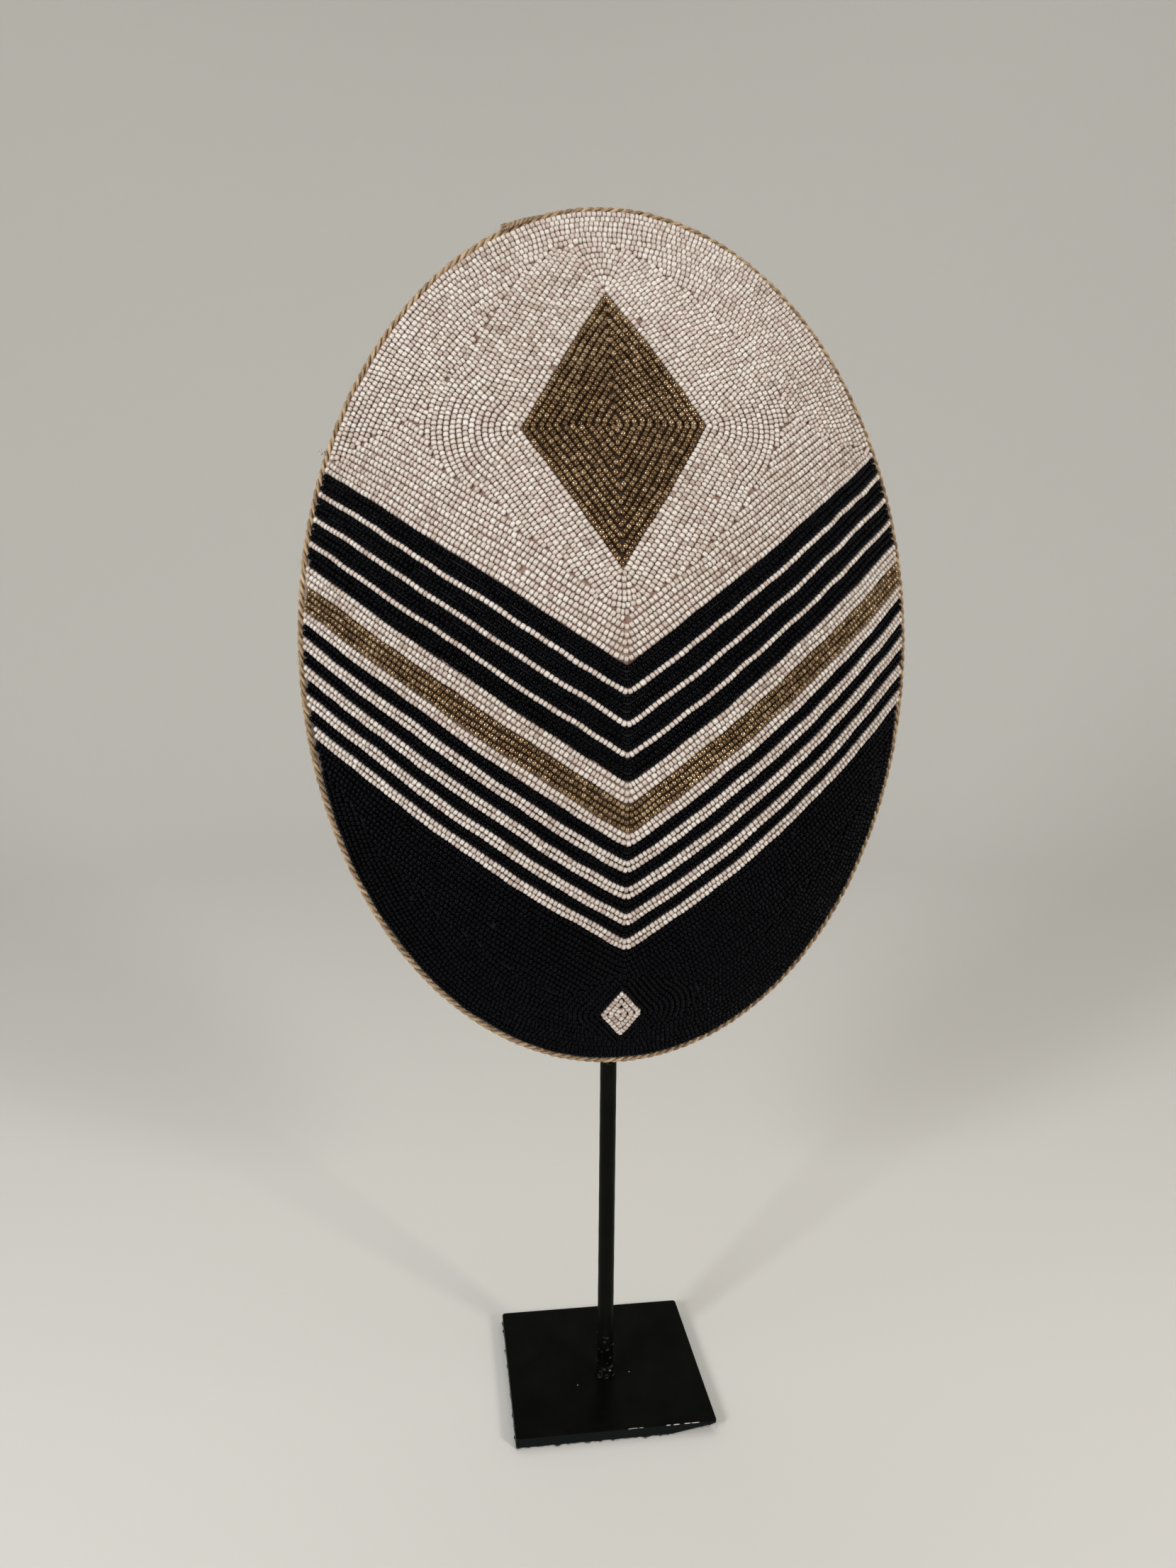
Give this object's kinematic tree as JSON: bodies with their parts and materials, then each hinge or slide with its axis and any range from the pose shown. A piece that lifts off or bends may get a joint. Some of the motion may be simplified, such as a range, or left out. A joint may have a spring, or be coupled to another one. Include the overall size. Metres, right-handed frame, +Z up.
{
  "type": "beaded shield on stand",
  "caption": "Domed oval wooden shield covered in rows of glass beads and edged with cord, held upright on a steel rod and square plate.",
  "frame": {"origin": "on the underside of the felt, under the rod's axis; the plate's middle is 10 mm behind it", "axes": "+Z up along the rod, the beaded front faces -Y, +X to the right seen from the front"},
  "size_m": [0.3422, 0.1475, 0.6928],
  "materials": {
    "felt": "thin black felt, fuzzy at its edges",
    "black_paint": "satin black paint on steel, glossy on the weld",
    "wood": "plain carved wood, unvarnished",
    "screw_steel": "plain steel, dulled",
    "cord": "twisted tan jute, glued down",
    "clear_glass": "clear glass bead",
    "ivory_beads": "opaque glossy ivory glass, uneven in tint",
    "black_beads": "opaque glossy black glass",
    "bronze_beads": "brown glass with a metallic lining"
  },
  "bodies": {
    "root": {"felt_pad": "felt", "base_plate": "black_paint", "rod": "black_paint", "weld_bead": "black_paint", "shield_shell": "wood", "lower_batten": "wood", "upper_batten": "wood", "lower_saddle": "black_paint", "upper_saddle": "black_paint", "lower_left_screw": "screw_steel", "lower_right_screw": "screw_steel", "upper_left_screw": "screw_steel", "upper_right_screw": "screw_steel", "rim_cord": "cord", "cord_end": "cord", "stray_bead": "clear_glass", "ivory_field": "ivory_beads", "bronze_lozenge": "bronze_beads", "bold_chevrons": "black_beads", "ivory_chevron": "ivory_beads", "bronze_chevron": "bronze_beads", "lower_ivory_chevron": "ivory_beads", "thin_chevrons": "black_beads", "black_point": "black_beads", "ivory_lozenge": "ivory_beads"}
  },
  "joints": []
}
